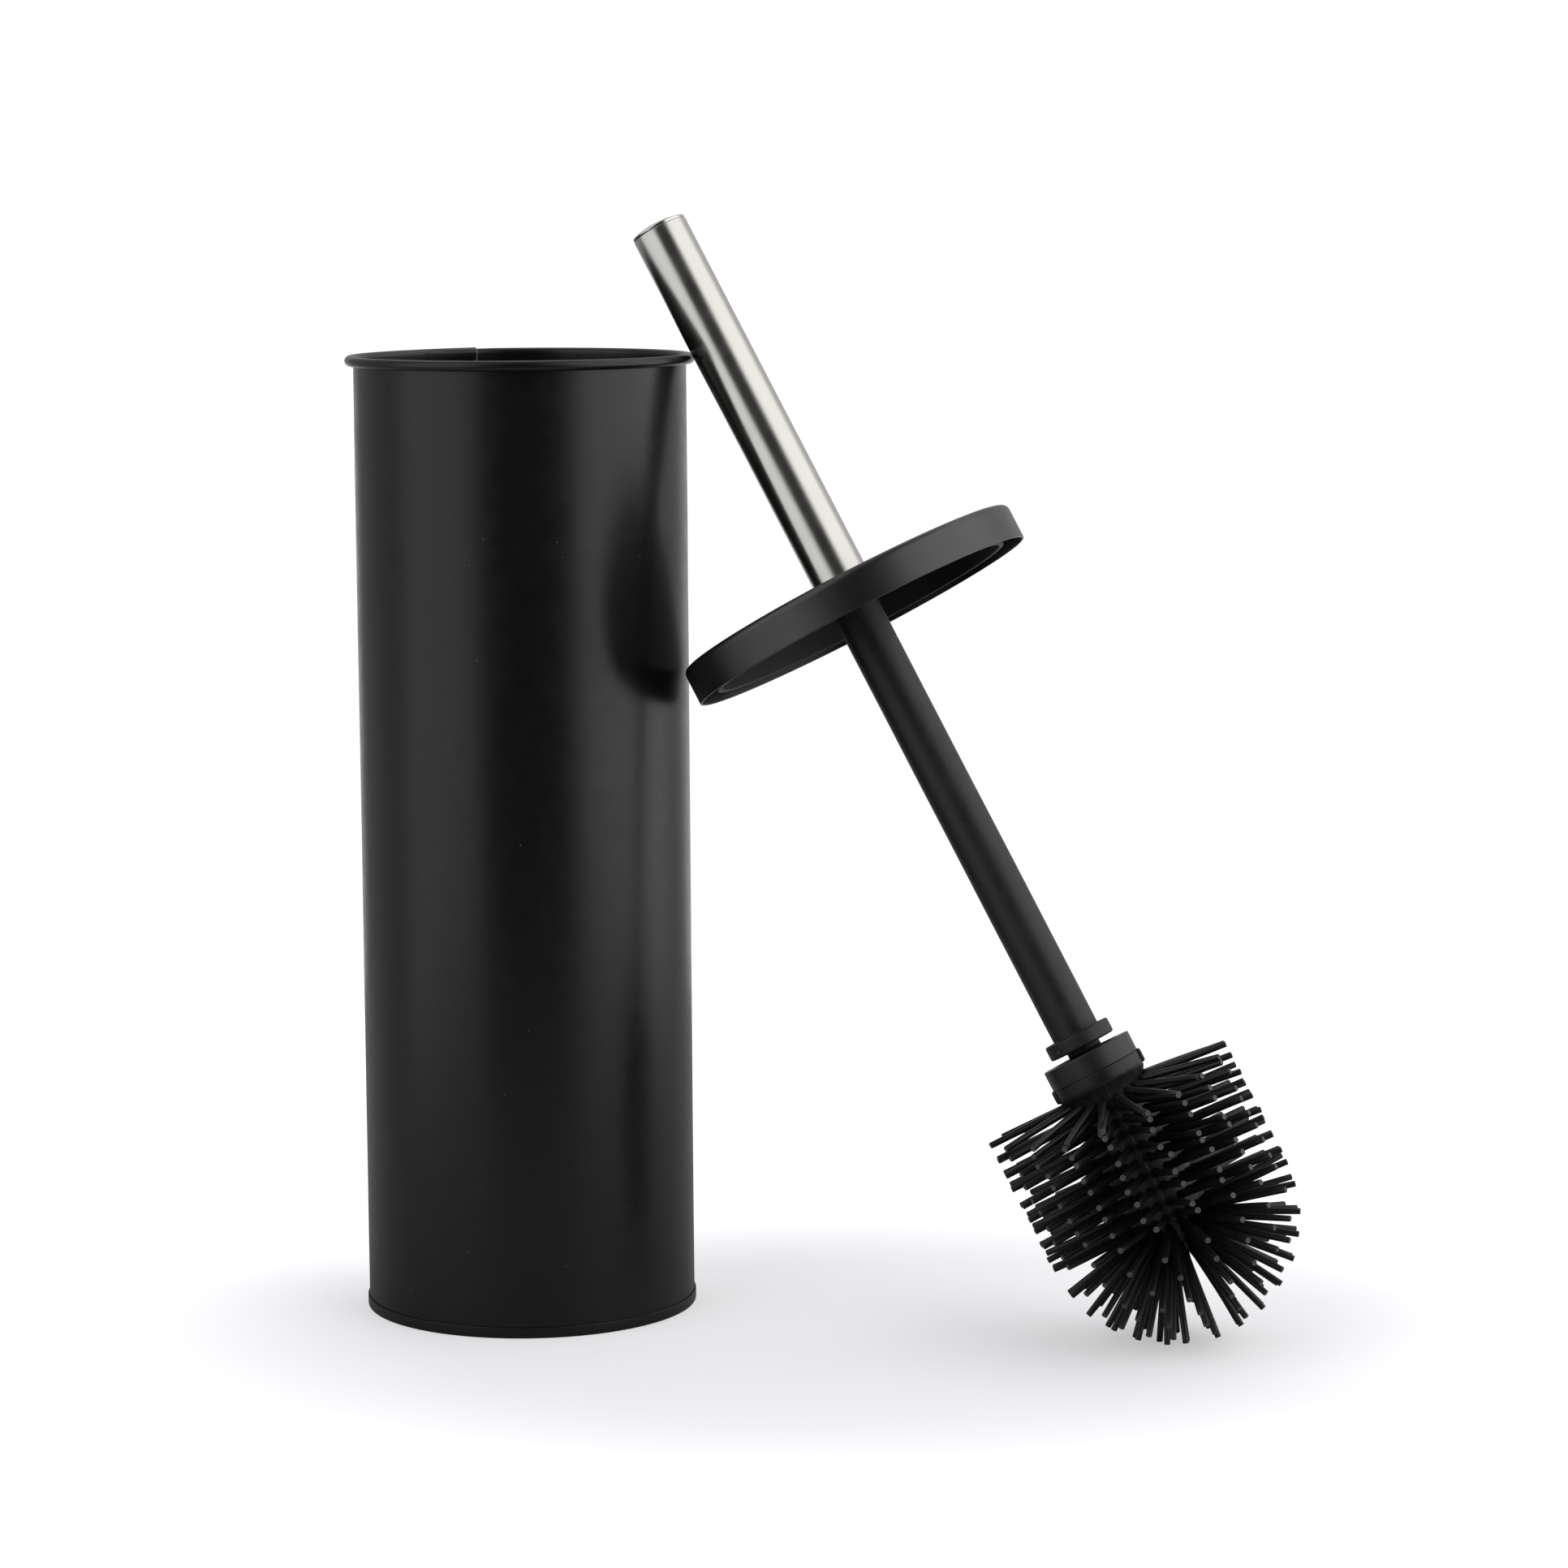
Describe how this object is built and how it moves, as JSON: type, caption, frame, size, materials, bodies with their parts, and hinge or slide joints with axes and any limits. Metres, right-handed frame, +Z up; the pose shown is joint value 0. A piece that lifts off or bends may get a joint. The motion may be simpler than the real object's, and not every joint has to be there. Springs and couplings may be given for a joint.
{
  "type": "toilet brush holder",
  "caption": "Slim round sheet-steel toilet brush holder with a curled rim; its lidded rubber-bristle brush stands beside it, leaning on the rim.",
  "frame": {"origin": "centre of the holder's foot, on the floor", "axes": "+Z up along the holder's axis, +X towards the side that the brush stands on, +Y away from the viewer; the brush's head stands at -Y"},
  "size_m": [0.2684, 0.1406, 0.3155],
  "materials": {
    "holder_paint": "satin black powder coat",
    "brushed_tube": "stainless steel, brushed round",
    "polished_cap": "polished stainless steel",
    "insert_plastic": "moulded",
    "lid_paint": "satin black powder coat",
    "liner_plastic": "moulded, satin",
    "stem_plastic": "rough moulded plastic",
    "stud_steel": "zinc plated",
    "ring_plastic": "smooth satin moulding",
    "bristle_rubber": "satin silicone rubber"
  },
  "bodies": {
    "holder": {"holder_shell": "holder_paint", "holder_base": "holder_paint"},
    "handle": {"handle_tube": "brushed_tube", "handle_end_cap": "polished_cap", "handle_insert": "insert_plastic"},
    "stem": {"stem": "stem_plastic", "stem_stud": "stud_steel"},
    "lid": {"lid_cover": "lid_paint", "lid_liner": "liner_plastic"},
    "head": {"head_core": "ring_plastic", "bristle_sleeve": "bristle_rubber"}
  },
  "joints": [
    {"name": "brush_lift", "type": "slide", "parent": "holder", "child": "handle", "axis": [0.1736, 0, 0.9848], "range_m": [0, 0.3]},
    {"name": "handle_unscrew", "type": "hinge", "parent": "handle", "child": "stem", "pos_m": [0.09233, -0.0214, 0.21042], "axis": [0.4531, -0.1671, -0.8757], "range_deg": [0, 4032]},
    {"name": "lid_turn", "type": "hinge", "parent": "stem", "child": "lid", "pos_m": [0.09335, -0.02177, 0.20845], "axis": [-0.4531, 0.1671, 0.8757], "continuous": true},
    {"name": "head_unscrew", "type": "hinge", "parent": "stem", "child": "head", "pos_m": [0.15834, -0.04574, 0.08283], "axis": [0.4531, -0.1671, -0.8757], "range_deg": [0, 2448]}
  ]
}
